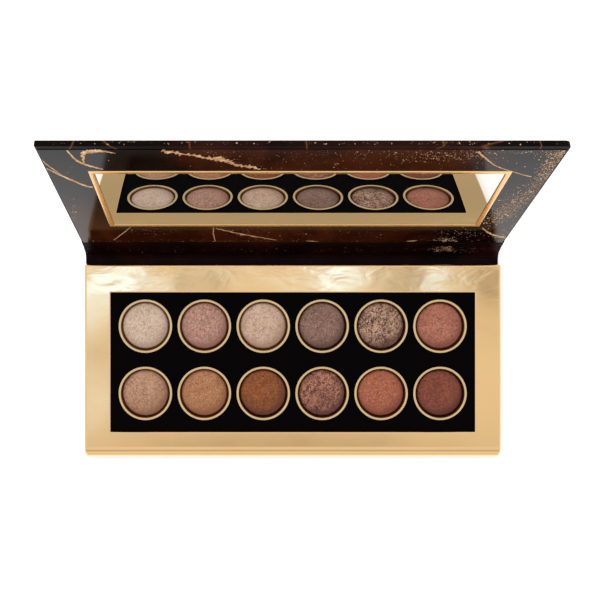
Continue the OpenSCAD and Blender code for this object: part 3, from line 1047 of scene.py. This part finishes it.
# What hangs over the table, by its direction from the palette:
# (across, forward, half width, half depth, turn, gain). Glints are cool daylight gaps in the tent, flags
# are grey cards.
GLINTS = [
    (-0.155, -0.070, 0.036, 0.020, 0, 1.4), (-0.188, -0.105, 0.009, 0.022, 0, 0.9),
    (0.095, -0.063, 0.028, 0.015, 12, 1.5), (0.203, -0.067, 0.010, 0.030, -35, 1.1),
    (0.0, -0.05, 0.06, 0.014, 0, 0.4), (-0.180, -0.200, 0.022, 0.03, 0, 0.3),
]
FLAGS = [
    (-0.087, -0.062, 0.010, 0.022, 10, 0.42), (-0.048, -0.066, 0.013, 0.022, 0, 0.42),
    (0.165, -0.066, 0.018, 0.022, 0, 0.56), (0.257, -0.065, 0.022, 0.035, 0, 0.42),
    (-0.178, -0.150, 0.022, 0.022, 0, 0.14), (0.03, -0.262, 0.19, 0.028, 0, 0.34),
    (0.0, -0.75, 0.6, 0.075, 0, 0.33),
]
TENT = 0.95
GLINT_COLOUR = (0.22, 0.78, 2.0)
FRONT_GLOW = 0.2


def oval_patches(g, direction, spots):
    """The sum of soft-edged oval patches in the upper part of the surroundings."""
    total = 0.0
    for x, y, half_x, half_y, turn, gain in spots:
        c, s = math.cos(math.radians(turn)), math.sin(math.radians(turn))
        dx, dy = g.math("SUBTRACT", direction["X"], x), g.math("SUBTRACT", direction["Y"], y)
        u = g.math("ADD", g.math("MULTIPLY", dx, c / half_x), g.math("MULTIPLY", dy, s / half_x))
        v = g.math("ADD", g.math("MULTIPLY", dx, -s / half_y), g.math("MULTIPLY", dy, c / half_y))
        far = g.math("ADD", g.math("MULTIPLY", u, u), g.math("MULTIPLY", v, v))
        spot = g.math("DIVIDE", gain, g.math("ADD", 1.0, g.math("MULTIPLY", far, far)))
        total = g.math("ADD", total, spot)
    return g.math("MULTIPLY", total, g.math("GREATER_THAN", direction["Z"], 0.3))


def build_light():
    """A white tent with soft bright and dim patches overhead, brighter low in front, and a key light."""
    world = bpy.data.worlds.new("tent")
    bpy.context.scene.world = world
    world.use_nodes = True
    g = Nodes(world.node_tree)
    direction = g.split(g.node("ShaderNodeTexCoord").outputs["Generated"])
    height = g.math("MULTIPLY", g.math("ABSOLUTE", direction["Z"]), 2.0)
    low = g.math("SUBTRACT", 1.0, height, clamp=True)
    front = g.math("MULTIPLY", g.math("MULTIPLY", direction["Y"], -1.0, clamp=True), low)
    tent = g.math("ADD", TENT, g.math("MULTIPLY", front, FRONT_GLOW))
    even = g.math("SUBTRACT", tent, oval_patches(g, direction, FLAGS))
    glint = oval_patches(g, direction, GLINTS)
    join = g.node("ShaderNodeCombineXYZ")
    for socket, share in zip(join.inputs, GLINT_COLOUR):
        g.feed(socket, g.math("ADD", even, g.math("MULTIPLY", glint, share)))
    background = g.tree.nodes["Background"]
    g.feed(background.inputs["Color"], join.outputs[0])
    background.inputs["Strength"].default_value = 1.0

    key = softbox("key", (-0.42, 0.42, 1.05), (0, 0, 0.01), 0.30, 0.30, 14.0)
    key.visible_glossy = False      # the foil and the mirror show the tent, not the lamp


# The camera, in metres: above the open lid and a little to the left, shifted to frame the palette
CAMERA_PLACE = (-0.0173, 0.0687, 0.4299)
CAMERA_SHIFT = (0.0722, -0.135)
CAMERA_LENS = 52.34
CAMERA_SENSOR = 36.0


def build_camera():
    """Looks straight down, so that the tray keeps its true outline and the lid opens out above it."""
    camera = bpy.data.cameras.new("camera")
    camera.sensor_width = CAMERA_SENSOR
    camera.lens = CAMERA_LENS
    camera.shift_x, camera.shift_y = CAMERA_SHIFT
    camera.clip_start = 0.01
    obj = bpy.data.objects.new("camera", camera)
    bpy.context.scene.collection.objects.link(obj)
    obj.location = CAMERA_PLACE
    obj.rotation_euler = (0, 0, 0)
    bpy.context.scene.camera = obj


bpy.context.scene.view_settings.view_transform = "Standard"
wrap_print = marble_print("wrap_print", 0.3, 0.05, brown=0.3, cracks=0.4).material
fold_print = marble_print("fold_print", 0.3, 0.03, brown=0.12).material
lining_print = lining_paper()
dress_hidden_parts()
build_tray(gold_foil())
build_pans()
build_bottom(fold_print)
build_spine(wrap_print, fold_print)
build_lid(wrap_print)
build_lining(lining_print)
build_mirror(silvered_glass())
build_strip(gold_strip())
build_creases(fold_print)
stamp_foil()
build_floor()
build_light()
build_camera()
